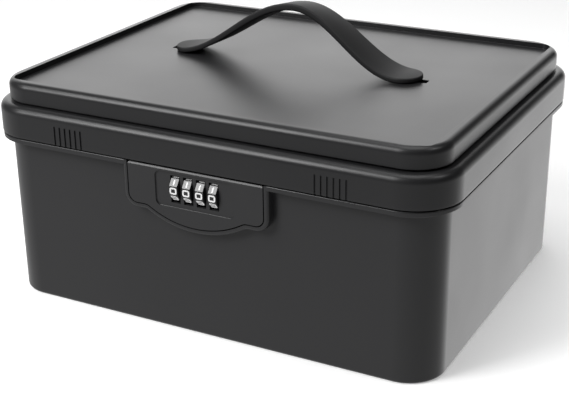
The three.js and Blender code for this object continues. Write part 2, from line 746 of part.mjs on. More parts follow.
function gateSleeve(x, i) {
  const half = wheelPitch / 2 - hubEndGap / 2;
  const teeth = Array.from({ length: splineCount }, (_, k) => {
    const tooth = new THREE.BoxGeometry(-wheelWebLeft - fit, splineWidth, splineTip);
    tooth.translate(wheelWebLeft / 2, 0, splineTip / 2);
    tooth.rotateX(Math.PI * 2 * k / splineCount);
    return solid(tooth);
  });
  const ring = cut(
    rodX(sleeveRadius, sleeveWebLeft, sleeveRingRight, 0, 0),
    rodX(sleeveRadius - sleeveRingWall, sleeveWebRight, sleeveRingRight + overrun, 0, 0),
  );
  const swing = new THREE.BoxGeometry(overrun, sleeveRadius + overrun, swingGateWidth);
  swing.translate(sleeveWebRight + overrun / 2, (sleeveRadius + overrun) / 2, 0);
  swing.rotateX(THREE.MathUtils.degToRad(swingGateAngle));
  const lift = box(sleeveWebRight, sleeveWebRight + overrun, liftGateFront, liftGateBack,
    -sleeveRadius - overrun, 0);
  const hub = rodX(hubRadius, -half, half, 0, 0, 20);
  const body = cut(join(cut(ring, solid(swing), lift), hub, ...teeth),
    rodX(shaftRadius + pinFit, -half - overrun, half + overrun, 0, 0, 16));
  const piece = mesh(`gate_sleeve_${i + 1}`, body, brightSteel());
  piece.position.set(x, lockY, lockHeight);
  return piece;
}

const stackEnd = wheelPitch * wheelCount / 2;

function resetKnobStart() {
  return cheekInner + cheekThickness + fit + resetTravel;
}

function dialShaft() {
  const end = resetKnobStart() + resetKnobLength;
  const rod = rodX(shaftRadius, -cheekInner - cheekThickness - fit, end - fit, lockY, lockHeight, 16);
  const collar = rodX(hubRadius, stackEnd + hubEndGap / 2, cheekInner - fit, lockY, lockHeight, 20);
  return mesh('dial_shaft', join(rod, collar), brightSteel());
}

function resetSlider() {
  const start = resetKnobStart();
  const knob = rodX(resetKnobRadius, start, start + resetKnobLength, lockY, lockHeight, 20);
  const bore = rodX(shaftRadius + pinFit, start - overrun, start + resetKnobLength - fit / 2,
    lockY, lockHeight, 16);
  return mesh('reset_slider', cut(knob, bore), innerPlastic());
}

function resetSpring() {
  const start = -cheekInner + fit + springWire;
  const end = -stackEnd - hubEndGap / 2 - springWire;
  class Coil extends THREE.Curve {
    getPoint(t, target = new THREE.Vector3()) {
      const turn = Math.PI * 2 * springTurns * t;
      return target.set(start + (end - start) * t, lockY + springRadius * Math.cos(turn),
        lockHeight + springRadius * Math.sin(turn));
    }
  }
  const wire = new THREE.Shape();
  wire.absarc(0, 0, springWire, 0, Math.PI * 2);
  const tube = new THREE.ExtrudeGeometry(wire, {
    steps: springTurns * 12, curveSegments: 3, bevelEnabled: false, extrudePath: new Coil(),
  });
  return mesh('reset_spring', solid(tube), springSteel());
}

export default new THREE.Group().add(
  baseTub(), ...hingePins(), keeperComb(), ...keeperScrews(),
  lidFrame(), lidCover(), ...coverScrews(),
  handleStrap(), ...sides.map((side) => strapSlider(...side)), ...sides.map((side) => strapScrew(...side)),
  latchFlap(), ...latchPins(), lockCarrier(), ...carrierScrews(), detentSpring(),
  ...wheelCentres.map(dialWheel), ...wheelCentres.map(gateSleeve), dialShaft(), resetSlider(), resetSpring(),
);
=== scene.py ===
# Medication lock box: a deep moulded tub, a two-piece lid with a strap, and a latch flap with number wheels.
# Everything is in metres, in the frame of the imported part: X to the right, Y to the back, Z up.

import math

import bmesh
import bpy
from mathutils import Matrix, Vector


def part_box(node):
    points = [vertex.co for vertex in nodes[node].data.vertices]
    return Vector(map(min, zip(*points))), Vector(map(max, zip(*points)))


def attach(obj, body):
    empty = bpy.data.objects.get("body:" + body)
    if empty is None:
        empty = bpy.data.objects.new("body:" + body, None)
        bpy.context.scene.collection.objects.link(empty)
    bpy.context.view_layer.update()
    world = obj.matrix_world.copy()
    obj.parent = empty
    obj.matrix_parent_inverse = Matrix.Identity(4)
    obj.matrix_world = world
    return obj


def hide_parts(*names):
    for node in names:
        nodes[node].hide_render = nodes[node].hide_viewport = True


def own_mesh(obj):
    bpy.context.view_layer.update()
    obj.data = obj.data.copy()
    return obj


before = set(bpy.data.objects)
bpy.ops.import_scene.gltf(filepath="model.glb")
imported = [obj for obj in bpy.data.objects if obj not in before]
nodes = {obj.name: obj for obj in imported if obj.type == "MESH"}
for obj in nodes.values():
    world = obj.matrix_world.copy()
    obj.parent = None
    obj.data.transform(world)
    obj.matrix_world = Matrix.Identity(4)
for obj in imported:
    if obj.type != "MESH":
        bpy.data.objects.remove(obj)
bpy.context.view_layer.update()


# Camera. It stands in front, to the right of the box and above it, at arm's length from a long lens.
# Its place, tilt and small shift come from fitting the box's straight edges to the picture.
picture_width = 569
focal_pixels = 1241.04
shift_right = -6.59
shift_up = 1.62
eye_azimuth = math.radians(27.77)
eye_elevation = math.radians(23.27)
eye_roll = math.radians(-0.56)
eye_distance = 0.82024
eye_target = Vector((-0.00079, 0, 0.03773))
eye_back = Vector((math.sin(eye_azimuth) * math.cos(eye_elevation),
                   -math.cos(eye_azimuth) * math.cos(eye_elevation), math.sin(eye_elevation)))
level_right = Vector((0, 0, 1)).cross(eye_back).normalized()
level_up = eye_back.cross(level_right)
eye_right = level_right * math.cos(eye_roll) + level_up * math.sin(eye_roll)
eye_up = level_up * math.cos(eye_roll) - level_right * math.sin(eye_roll)
eye_turn = Matrix((eye_right, eye_up, eye_back)).transposed().to_4x4()
camera = bpy.data.objects.new("camera", bpy.data.cameras.new("camera"))
camera.data.sensor_width = 36
camera.data.lens = focal_pixels / picture_width * camera.data.sensor_width
camera.data.shift_x = shift_right / picture_width
camera.data.shift_y = shift_up / picture_width
camera.data.clip_start = 0.01
camera.matrix_world = Matrix.Translation(eye_target + eye_back * eye_distance) @ eye_turn
bpy.context.scene.collection.objects.link(camera)
bpy.context.scene.camera = camera


# Floor. A seamless white sweep under the box, in plain matt paper. It only carries the box's shadow: what the
# box mirrors from below comes from the tent's own light.
sweep_half = 12


def linear(hex_text):
    parts = [int(hex_text[i:i + 2], 16) / 255 for i in (0, 2, 4)]
    return tuple(c / 12.92 if c <= 0.04045 else ((c + 0.055) / 1.055) ** 2.4 for c in parts) + (1,)


def add_node(tree, kind, inputs=None, **settings):
    made = tree.nodes.new(kind)
    for name, value in settings.items():
        setattr(made, name, value)
    for name, value in (inputs or {}).items():
        if isinstance(value, bpy.types.NodeSocket):
            tree.links.new(value, made.inputs[name])
        else:
            made.inputs[name].default_value = value
    return made


def new_material(name):
    material = bpy.data.materials.new(name)
    material.use_nodes = True
    material.node_tree.nodes.clear()
    return material, material.node_tree


def matt_paper():
    """White background paper: no gloss, and a tooth of 1.1 mm that only softens it."""
    teeth_per_metre = 900
    material, tree = new_material("matt_paper")
    place = add_node(tree, "ShaderNodeTexCoord")
    grain = add_node(tree, "ShaderNodeTexNoise", {
        "Vector": place.outputs["Object"], "Scale": teeth_per_metre})
    bump = add_node(tree, "ShaderNodeBump", {
        "Height": grain.outputs["Fac"], "Strength": 0.05, "Distance": 0.0002})
    sheet = add_node(tree, "ShaderNodeBsdfPrincipled", {
        "Base Color": linear("e6e6e6"), "Roughness": 0.9, "Normal": bump.outputs["Normal"],
        "Emission Color": linear("ffffff"), "Emission Strength": 0.31})
    add_node(tree, "ShaderNodeOutputMaterial", {"Surface": sheet.outputs["BSDF"]})
    return material


sweep = bmesh.new()
bmesh.ops.create_grid(sweep, x_segments=2, y_segments=2, size=sweep_half)
floor_mesh = bpy.data.meshes.new("floor")
sweep.to_mesh(floor_mesh)
sweep.free()
floor = bpy.data.objects.new("floor", floor_mesh)
floor.data.materials.append(matt_paper())
bpy.context.scene.collection.objects.link(floor)
floor.visible_diffuse = False
floor.visible_glossy = False
floor.visible_shadow = False


# Light. A white tent: bright behind and above, at the right and below, with boxes overhead and at the
# front left.
def softbox(name, place, width, height, power, target=(0, 0, 0.1)):
    lamp = bpy.data.lights.new(name, "AREA")
    lamp.shape = "RECTANGLE"
    lamp.size = width
    lamp.size_y = height
    lamp.energy = power
    holder = bpy.data.objects.new(name, lamp)
    towards = Vector(target) - Vector(place)
    holder.matrix_world = Matrix.Translation(place) @ towards.to_track_quat("-Z", "Y").to_matrix().to_4x4()
    bpy.context.scene.collection.objects.link(holder)


softbox("light_top", (0, 0, 1.5), width=1.0, height=1.0, power=11)
softbox("light_top_right", (0.8, 0.05, 1.1), width=0.3, height=0.3, power=2.5, target=(0.1, 0, 0.1))
softbox("light_top_left", (-0.55, -0.75, 1.1), width=0.9, height=0.3, power=8)
softbox("light_front_left", (-0.7, -1.02, 0.84), width=0.5, height=0.5, power=14)
studio = bpy.data.worlds.new("studio")
studio.use_nodes = True
tent = studio.node_tree
tent.nodes.clear()
direction = add_node(tent, "ShaderNodeTexCoord").outputs["Generated"]


def wall_glow(towards, edge, full, strength):
    """Glow of one wall of the tent. Edge and full are cosines of the angle off the wall's middle."""
    facing = add_node(tent, "ShaderNodeVectorMath", {0: direction, 1: Vector(towards).normalized()},
                      operation="DOT_PRODUCT")
    glow = add_node(tent, "ShaderNodeMapRange", {
        "Value": facing.outputs["Value"], "From Min": edge, "From Max": full,
        "To Min": 0.0, "To Max": strength})
    return glow.outputs["Result"]


glow_below = wall_glow((0, 0, -1), edge=-0.15, full=0.4, strength=0.9)
glow_right = wall_glow((0.22, 0.90, -0.38), edge=0.82, full=0.98, strength=1.18)
glow_back = wall_glow((-0.52, 0.81, 0.28), edge=0.75, full=0.97, strength=2.1)
sides_glow = add_node(tent, "ShaderNodeMath", {0: glow_right, 1: glow_back}, operation="ADD")
whole_glow = add_node(tent, "ShaderNodeMath", {0: glow_below, 1: sides_glow.outputs["Value"]},
                      operation="ADD")
sky = add_node(tent, "ShaderNodeBackground", {
    "Color": linear("ffffff"), "Strength": whole_glow.outputs["Value"]})
add_node(tent, "ShaderNodeOutputWorld", {"Surface": sky.outputs["Background"]})
bpy.context.scene.world = studio
bpy.context.scene.view_settings.view_transform = "Standard"


# Tub. The deep lower half, injection moulded in black polypropylene, with a flange round its rim.
# A raised band frames the latch, a pocket behind it takes the lock, and the hinge knuckles stand at the back.
flange_half_x = 0.1497
flange_half_y = 0.1192
flange_corner = 0.0287
flange_low = 0.1038
flange_underside = [(0.0005, 0.0002), (0.0022, 0.0007), (0.0018, 0.0008), (0.0008, 0.0006), (0.0004, 0.0008)]
wall_top = flange_low - sum(drop for _, drop in flange_underside)
rim_top = 0.1064
rim_width = 0.0083
rim_round = 0.0007
tub_floor = 0.003
foot_round = 0.002
flap_front = -0.1192
flap_bottom = 0.0813
latch_half_width = 0.0444
latch_corner = 0.0052
bulge_bottom = 0.0719
bulge_radius = 0.0593
bulge_fillet = 0.0065
latch_gap = 0.0007
band_width = 0.0028
band_back = -0.1108
band_round = 0.0018
pocket_front = -0.1122
pocket_back = -0.1001
pocket_wall = 0.0022
hinge_x = 0.08
hinge_y = 0.1236
hinge_z = 0.1068
hinge_pin_bore = 0.0017
knuckle_radius = 0.0036
knuckle_root = 0.004
tub_knuckle_ends = (0.008, 0.022)
overrun = 0.005


def rounded_plate(half_x, half_y, corner, z, segments):
    shape = bmesh.new()
    bmesh.ops.create_grid(shape, x_segments=1, y_segments=1, size=1)
    bmesh.ops.scale(shape, vec=(half_x, half_y, 1), verts=shape.verts)
    bmesh.ops.translate(shape, vec=(0, 0, z), verts=shape.verts)
    bmesh.ops.bevel(shape, geom=list(shape.verts), offset=corner, segments=segments, profile=0.5,
                    affect="VERTICES", material=-1)
    return shape


def step_inwards(shape, steps):
    """Takes the shape's last face inwards and along its normal, one (inset, rise) at a time."""
    shape.faces.ensure_lookup_table()
    face = shape.faces[-1]
    for inset, rise in steps:
        bmesh.ops.inset_region(shape, faces=[face], thickness=inset, depth=rise, use_boundary=True,
                               use_even_offset=True)


def round_in(radius, count, rise=1):
    """Quarter round that starts upright and ends level."""
    turns = [math.pi / 2 * i / count for i in range(count + 1)]
    return [(radius * (math.cos(a) - math.cos(b)), rise * radius * (math.sin(b) - math.sin(a)))
            for a, b in zip(turns, turns[1:])]


def round_down(radius, count):
    """Quarter round that starts level and ends upright, going down."""
    turns = [math.pi / 2 * i / count for i in range(count + 1)]
    return [(radius * (math.sin(b) - math.sin(a)), radius * (math.cos(b) - math.cos(a)))
            for a, b in zip(turns, turns[1:])]


def smooth(piece, angle):
    piece.data.polygons.foreach_set("use_smooth", [True] * len(piece.data.polygons))
    piece.data.set_sharp_from_angle(angle=math.radians(angle))


def add_piece(name, shape, angle=32):
    """Closes the seams of a shape and puts it in the scene as an object, rounds smooth and edges crisp."""
    bmesh.ops.remove_doubles(shape, verts=shape.verts, dist=1e-6)
    bmesh.ops.recalc_face_normals(shape, faces=shape.faces)
    mesh = bpy.data.meshes.new(name)
    shape.to_mesh(mesh)
    shape.free()
    piece = bpy.data.objects.new(name, mesh)
    bpy.context.scene.collection.objects.link(piece)
    smooth(piece, angle)
    return piece


def stacked(name, half_x, half_y, corner, z, up, down, segments=20):
    """A moulding that is widest at one level, stepping inwards above and below it."""
    top = rounded_plate(half_x, half_y, corner, z, segments)
    step_inwards(top, up)
    bottom = rounded_plate(half_x, half_y, corner, z, segments)
    bmesh.ops.reverse_faces(bottom, faces=bottom.faces)
    step_inwards(bottom, down)
    half = bpy.data.meshes.new("half")
    bottom.to_mesh(half)
    bottom.free()
    top.from_mesh(half)
    bpy.data.meshes.remove(half)
    return add_piece(name, top)


def block(x, y, z):
    """A cutting or joining block between two values along each axis."""
    shape = bmesh.new()
    bmesh.ops.create_cube(shape, size=1)
    bmesh.ops.scale(shape, vec=(x[1] - x[0], y[1] - y[0], z[1] - z[0]), verts=shape.verts)
    bmesh.ops.translate(shape, vec=((x[0] + x[1]) / 2, (y[0] + y[1]) / 2, (z[0] + z[1]) / 2),
                        verts=shape.verts)
    return add_piece("tool", shape)


def rod(radius, start, end, segments=32):
    """A cutting or joining rod from one point to another."""
    start, end = Vector(start), Vector(end)
    shape = bmesh.new()
    bmesh.ops.create_cone(shape, cap_ends=True, segments=segments, radius1=radius, radius2=radius,
                          depth=(end - start).length)
    turn = (end - start).to_track_quat("Z", "Y").to_matrix().to_4x4()
    bmesh.ops.transform(shape, matrix=Matrix.Translation((start + end) / 2) @ turn, verts=shape.verts)
    return add_piece("tool", shape)


def cross_rod(radius, ends, y, z, segments=32):
    """A rod along the box, from left to right."""
    return rod(radius, (ends[0], y, z), (ends[1], y, z), segments)


def around(middle, reach):
    return middle - reach, middle + reach


def combine(piece, operation, *tools):
    """Joins or cuts a piece with each tool in turn, and throws the tools away."""
    for tool in tools:
        step = piece.modifiers.new("step", "BOOLEAN")
        step.operation = operation
        step.solver = "EXACT"
        step.object = tool
        made = bpy.data.meshes.new_from_object(piece.evaluated_get(bpy.context.evaluated_depsgraph_get()))
        piece.modifiers.clear()
        piece.data = made
        bpy.data.objects.remove(tool)


def soften(piece, width, angle=32):
    """The small radius that a mould leaves on every edge."""
    smooth(piece, angle)
    edge = piece.modifiers.new("edge", "BEVEL")
    edge.width = width
    edge.segments = 2
    edge.limit_method = "ANGLE"
    edge.angle_limit = math.radians(angle)
    edge.use_clamp_overlap = True
    shade = piece.modifiers.new("shade", "WEIGHTED_NORMAL")
    shade.keep_sharp = True


def paint(piece, material):
    piece.data.materials.clear()
    piece.data.materials.append(material)


def arc(x, z, radius, start, end, count):
    turns = [start + (end - start) * i / count for i in range(count + 1)]
    return [(x + radius * math.cos(turn), z + radius * math.sin(turn)) for turn in turns]


def latch_outline(grow, top, y0, y1, top_corner=0.0, front_round=0.0):
    """The latch plate's outline, straight at the sides and bulged below, as a plate between two depths."""
    side = latch_half_width + grow
    bottom = flap_bottom - grow
    corner = latch_corner + grow
    fillet = bulge_fillet - grow
    centre = bulge_bottom + bulge_radius
    fillet_z = flap_bottom - bulge_fillet
    fillet_x = math.sqrt((bulge_radius + bulge_fillet) ** 2 - (centre - fillet_z) ** 2)
    lean = math.atan2(centre - fillet_z, fillet_x)
    line = arc(corner - side, bottom + corner, corner, math.pi, math.pi * 1.5, 8)
    line += arc(-fillet_x, fillet_z, fillet, math.pi / 2, lean, 6)
    line += arc(0, centre, bulge_radius + grow, math.pi + lean, math.pi * 2 - lean, 28)
    line += arc(fillet_x, fillet_z, fillet, math.pi - lean, math.pi / 2, 6)
    line += arc(side - corner, bottom + corner, corner, -math.pi / 2, 0, 8)
    if top_corner:
        line += arc(side - top_corner, top - top_corner, top_corner, 0, math.pi / 2, 5)
        line += arc(top_corner - side, top - top_corner, top_corner, math.pi / 2, math.pi, 5)
    else:
        line += [(side, top), (-side, top)]
    line = [(x, z) for (x, z), last in zip(line, line[-1:] + line)
            if math.hypot(x - last[0], z - last[1]) > 1e-6]
    shape = bmesh.new()
    face = shape.faces.new([shape.verts.new((x, y0, z)) for x, z in line])
    depth = bmesh.ops.extrude_face_region(shape, geom=[face])
    bmesh.ops.translate(shape, vec=(0, y1 - y0, 0),
                        verts=[v for v in depth["geom"] if isinstance(v, bmesh.types.BMVert)])
    if front_round:
        front = [e for e in shape.edges if all(abs(v.co.y - y0) < 1e-6 for v in e.verts)
                 and not all(abs(v.co.z - top) < 1e-6 for v in e.verts)]
        bmesh.ops.bevel(shape, geom=front, offset=front_round, segments=5, profile=0.5, affect="EDGES",
                        material=-1)
    return add_piece("tool", shape)


def sparked_plastic(name, shades, roughness, bump_strength):
    """Black plastic from a lightly sparked mould: satin, spark marks of 0.45 mm, flow clouds of 70 mm."""
    sparks_per_metre = 2200
    clouds_per_metre = 14
    material, tree = new_material(name)
    place = add_node(tree, "ShaderNodeTexCoord")
    fine = add_node(tree, "ShaderNodeTexNoise", {
        "Vector": place.outputs["Object"], "Scale": sparks_per_metre, "Detail": 2, "Roughness": 0.6})
    cloud = add_node(tree, "ShaderNodeTexNoise", {
        "Vector": place.outputs["Object"], "Scale": clouds_per_metre, "Detail": 3, "Roughness": 0.5})
    tone = add_node(tree, "ShaderNodeMix", {
        "Factor": cloud.outputs["Fac"], 6: linear(shades[0]), 7: linear(shades[1])}, data_type="RGBA")
    gloss = add_node(tree, "ShaderNodeMapRange", {
        "Value": cloud.outputs["Fac"], "From Min": 0.3, "From Max": 0.7,
        "To Min": roughness - 0.02, "To Max": roughness + 0.03})
    bump = add_node(tree, "ShaderNodeBump", {
        "Height": fine.outputs["Fac"], "Strength": bump_strength, "Distance": 0.00005})
    surface = add_node(tree, "ShaderNodeBsdfPrincipled", {
        "Base Color": tone.outputs[2], "Roughness": gloss.outputs["Result"], "IOR": 1.46,
        "Specular IOR Level": 0.32, "Normal": bump.outputs["Normal"]})
    add_node(tree, "ShaderNodeOutputMaterial", {"Surface": surface.outputs["BSDF"]})
    return material


tub = stacked("tub", flange_half_x, flange_half_y, flange_corner, flange_low,
              [(0, rim_top - rim_round - flange_low)] + round_in(rim_round, 3)
              + [(rim_width - 2 * rim_round, 0)] + round_down(rim_round, 3)
              + [(0, -(rim_top - rim_round - tub_floor - foot_round))] + round_in(foot_round, 3, -1),
              flange_underside + [(0, wall_top - foot_round)] + round_in(foot_round, 4))
combine(tub, "UNION",
        latch_outline(latch_gap + band_width, rim_top, flap_front, band_back, front_round=band_round),
        latch_outline(latch_gap + pocket_wall, rim_top, pocket_front, pocket_back + pocket_wall))
combine(tub, "DIFFERENCE", latch_outline(latch_gap, rim_top + overrun, flap_front - overrun, pocket_back))
for x in (-hinge_x, hinge_x):
    for side in (-1, 1):
        ends = sorted(x + side * end for end in tub_knuckle_ends)
        combine(tub, "UNION",
                block(ends, (flange_half_y - knuckle_root, hinge_y), (hinge_z - knuckle_radius, rim_top)),
                cross_rod(knuckle_radius, ends, hinge_y, hinge_z))
    combine(tub, "DIFFERENCE",
            cross_rod(hinge_pin_bore, around(x, tub_knuckle_ends[1] + overrun), hinge_y, hinge_z))
soften(tub, 0.0004)
tub_plastic = sparked_plastic("moulded_polypropylene_tub", ("262627", "2b2b2c"), 0.32, 0.25)
paint(tub, tub_plastic)
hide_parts("base_tub")
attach(tub, "tub")


# Lid frame. The outer ring of the lid, moulded in the same black polypropylene: a skirt that meets the
# tub's flange, a narrow ledge, grip grooves at the front, and the ears that carry the latch.
lid_half_x = 0.15
lid_half_y = 0.1195
lid_corner = 0.029
lid_bottom = 0.1072
skirt_low = 0.1090
skirt_edge = 0.0004
skirt_round = 0.005
skirt_wall = 0.0025
ledge_top = 0.1264
ledge_bottom = 0.1234
ledge_width = 0.019
ledge_corner = 0.012
lip_inset = 0.0094
lip_wall = 0.0018
lip_level = 0.11
lip_rise = 0.015
lip_drop = 0.0076
lip_gap = 0.0488
clear_rise = 0.03
clear_drop = 0.02
latch_axis_y = -0.1158
latch_axis_z = 0.1033
latch_pin_bore = 0.0011
ear_inner = 0.02605
ear_outer = 0.03365
ear_front = -0.1126
ear_back = -0.1098
ear_top = 0.1249
ear_radius = 0.0022
arm_back = -0.1100
arm_half = 0.0018
web_front = -0.1176
web_bottom = 0.1117
lid_knuckle_half = 0.0076
lid_knuckle_front = 0.1182
groove_count = 6
groove_inner = 0.0765
groove_pitch = 0.00373
groove_half = 0.00065
groove_depth = 0.0007
groove_top = 0.1188
cover_screw_x = 0.11
cover_screw_y = 0.1051
screw_bore = 0.0015


def lid_prism(inset, corner, rise, drop):
    """An upright block with the lid's outline, drawn in all round."""
    return stacked("tool", lid_half_x - inset, lid_half_y - inset, corner, lip_level,
                   [(0, rise)], [(0, drop)], 12)


lid_frame = stacked("lid_ring", lid_half_x, lid_half_y, lid_corner, skirt_low,
                    [(0, ledge_top - skirt_round - skirt_low)] + round_in(skirt_round, 8)
                    + [(ledge_width - skirt_round, 0), (0, lid_bottom - ledge_top)],
                    [(0, skirt_low - lid_bottom - skirt_edge)] + round_in(skirt_edge, 2))
inside_low = lid_bottom - overrun
combine(lid_frame, "DIFFERENCE",
        stacked("tool", lid_half_x - skirt_wall, lid_half_y - skirt_wall, lid_corner - skirt_wall, inside_low,
                [(0, ledge_bottom - inside_low)], [(0, overrun)], 16),
        lid_prism(ledge_width, ledge_corner, clear_rise, clear_drop))
lip = lid_prism(lip_inset, lid_corner - lip_inset, lip_rise, lip_drop)
combine(lip, "DIFFERENCE",
        lid_prism(lip_inset + lip_wall, lid_corner - lip_inset - lip_wall, clear_rise, clear_drop),
        block(around(0, lip_gap), (-lid_half_y - overrun, 0), (inside_low - overrun, lid_bottom)))
combine(lid_frame, "UNION", lip)
for side in (-1, 1):
    across = sorted((side * ear_inner, side * ear_outer))
    combine(lid_frame, "UNION",
            block(across, (ear_front, ear_back), (latch_axis_z - arm_half, ear_top)),
            block(across, (web_front, ear_back), (web_bottom, ear_top)),
            block(across, (latch_axis_y, arm_back), around(latch_axis_z, arm_half)),
            cross_rod(ear_radius, across, latch_axis_y, latch_axis_z))
    combine(lid_frame, "DIFFERENCE",
            cross_rod(latch_pin_bore, (across[0] - overrun, across[1] + overrun),
                      latch_axis_y, latch_axis_z, 16))
    knuckle_ends = around(side * hinge_x, lid_knuckle_half)
    combine(lid_frame, "UNION",
            block(knuckle_ends, (lid_knuckle_front, hinge_y), (lid_bottom, hinge_z + knuckle_radius)),
            cross_rod(knuckle_radius, knuckle_ends, hinge_y, hinge_z))
    combine(lid_frame, "DIFFERENCE",
            cross_rod(hinge_pin_bore, around(side * hinge_x, lid_knuckle_half + overrun), hinge_y, hinge_z))
    for i in range(groove_count):
        groove_x = side * (groove_inner + i * groove_pitch)
        combine(lid_frame, "DIFFERENCE",
                block(around(groove_x, groove_half), (-lid_half_y - overrun, groove_depth - lid_half_y),
                      (inside_low, groove_top)))
    for y in (-cover_screw_y, cover_screw_y):
        combine(lid_frame, "DIFFERENCE", rod(screw_bore, (side * cover_screw_x, y, ledge_bottom - overrun),
                                             (side * cover_screw_x, y, ledge_top + overrun), 16))
soften(lid_frame, 0.0003)
lid_plastic = sparked_plastic("moulded_polypropylene_lid", ("1d1d1e", "222223"), 0.32, 0.25)
paint(lid_frame, lid_plastic)
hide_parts("lid_frame")
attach(lid_frame, "lid")


# Lid cover. The raised middle of the lid: a tray-like moulding with a softly rounded rim, a sunk panel,
# two slots for the strap and a shadow line round its foot, screwed to the ring from inside.
cover_inset = 0.00625
cover_low = 0.1290
cover_top = 0.1397
cover_round = 0.0045
cover_edge = 0.0003
cover_wall = 0.0036
cover_foot = 0.1267
reveal_height = 0.0012
reveal_depth = 0.0018
reveal_top = ledge_top + reveal_height
panel_top = 0.1364
panel_bottom = 0.1339
panel_inset = 0.01325
panel_corner = 0.007
slot_x = 0.08
slot_half_length = 0.01
slot_half_width = 0.00315
slot_corner = 0.001
slot_low = 0.13
strap_y = 0.006
cover = stacked("lid_top", lid_half_x - cover_inset, lid_half_y - cover_inset, lid_corner - cover_inset,
                cover_low, [(0, cover_top - cover_round - cover_low)] + round_in(cover_round, 8),
                [(0, cover_low - reveal_top - cover_edge)] + round_in(cover_edge, 2)
                + [(reveal_depth - cover_edge, 0), (0, reveal_top - cover_foot)]
                + [(cover_wall - reveal_depth, 0), (0, cover_foot - panel_bottom)])
combine(cover, "DIFFERENCE",
        stacked("tool", lid_half_x - panel_inset, lid_half_y - panel_inset, panel_corner, panel_top,
                [(0, cover_top - panel_top + overrun)], [(cover_edge, 0)], 12))
for side in (-1, 1):
    slot = stacked("tool", slot_half_length, slot_half_width, slot_corner, slot_low,
                   [(0, panel_top - slot_low + overrun)], [(0, overrun)], 4)
    slot.data.transform(Matrix.Translation((side * slot_x, strap_y, 0)))
    combine(cover, "DIFFERENCE", slot)
soften(cover, 0.0002)
paint(cover, lid_plastic)
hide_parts("lid_cover")
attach(cover, "lid")


# Strap. A moulded rubber strap with round ends, a little thicker at its grip, held by T-shaped ends in the
# slots. It stands in a low arch that leans to the right and a little to the back.
strap_length = 0.172
strap_width = 0.024
strap_thickness = 0.0032
strap_round = 0.0009
strap_end_flat = 0.0001
strap_foot = 0.1367
strap_slices = 86
grip_thickening = 0.0012
crown_x = 0.0043
crown_height = 0.0355
crown_tilt = 0.0017
reach_left = 0.0855
reach_right = 0.0707
reach_twist = 0.0021
slope_step = 0.0005


def strap_rise(x, across):
    """How far the arch has risen at a place along the strap and across it, as a share of the crown's rise."""
    reach = reach_left if x < crown_x else reach_right + reach_twist * across
    return math.cos(math.pi / 2 * min(abs(x - crown_x) / reach, 1)) ** 2


strap_shape = rounded_plate(strap_length / 2, strap_width / 2, strap_width / 2 - strap_end_flat, 0, 24)
body = bmesh.ops.extrude_face_region(strap_shape, geom=list(strap_shape.faces))
bmesh.ops.translate(strap_shape, vec=(0, 0, strap_thickness),
                    verts=[v for v in body["geom"] if isinstance(v, bmesh.types.BMVert)])
bmesh.ops.recalc_face_normals(strap_shape, faces=strap_shape.faces)
rim = [e for e in strap_shape.edges if abs(e.verts[0].co.z - e.verts[1].co.z) < 1e-7]
bmesh.ops.bevel(strap_shape, geom=rim, offset=strap_round, segments=4, profile=0.5, affect="EDGES",
                material=-1)
for i in range(1, strap_slices):
    cut_x = strap_length * (i / strap_slices - 0.5)
    bmesh.ops.bisect_plane(strap_shape, geom=list(strap_shape.verts) + list(strap_shape.edges)
                           + list(strap_shape.faces), plane_co=(cut_x, 0, 0), plane_no=(1, 0, 0))
for vert in strap_shape.verts:
    x, across = vert.co.x, vert.co.y * 2 / strap_width
    share = strap_rise(x, across)
    level = (vert.co.z - strap_thickness / 2) * (1 + grip_thickening / strap_thickness * share)
    crown_rise = crown_height - crown_tilt * across
    climb = strap_rise(x + slope_step, across) - strap_rise(x - slope_step, across)
    along = Vector((1, 0, climb / (slope_step * 2) * crown_rise)).normalized()
    vert.co = (x - along.z * level, vert.co.y + strap_y,
               strap_foot + strap_thickness / 2 + crown_rise * share + along.x * level)
strap = add_piece("strap", strap_shape, 50)


def moulded_rubber():
    """Soft black rubber: dark and dull, with a fine skin of 0.7 mm and a faint bloom in 17 mm patches."""
    wrinkles_per_metre = 1500
    patches_per_metre = 60
    material, tree = new_material("moulded_rubber_strap")
    place = add_node(tree, "ShaderNodeTexCoord")
    skin = add_node(tree, "ShaderNodeTexNoise", {
        "Vector": place.outputs["Object"], "Scale": wrinkles_per_metre, "Detail": 3, "Roughness": 0.6})
    bloom = add_node(tree, "ShaderNodeTexNoise", {
        "Vector": place.outputs["Object"], "Scale": patches_per_metre, "Detail": 3})
    tone = add_node(tree, "ShaderNodeMix", {
        "Factor": bloom.outputs["Fac"], 6: linear("161617"), 7: linear("1c1c1d")}, data_type="RGBA")
    bump = add_node(tree, "ShaderNodeBump", {
        "Height": skin.outputs["Fac"], "Strength": 0.3, "Distance": 0.00005})
    surface = add_node(tree, "ShaderNodeBsdfPrincipled", {
        "Base Color": tone.outputs[2], "Roughness": 0.62, "IOR": 1.5, "Specular IOR Level": 0.3,
        "Normal": bump.outputs["Normal"]})
    add_node(tree, "ShaderNodeOutputMaterial", {"Surface": surface.outputs["BSDF"]})
    return material


paint(strap, moulded_rubber())
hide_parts("handle_strap")
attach(strap, "lid")
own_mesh(strap)


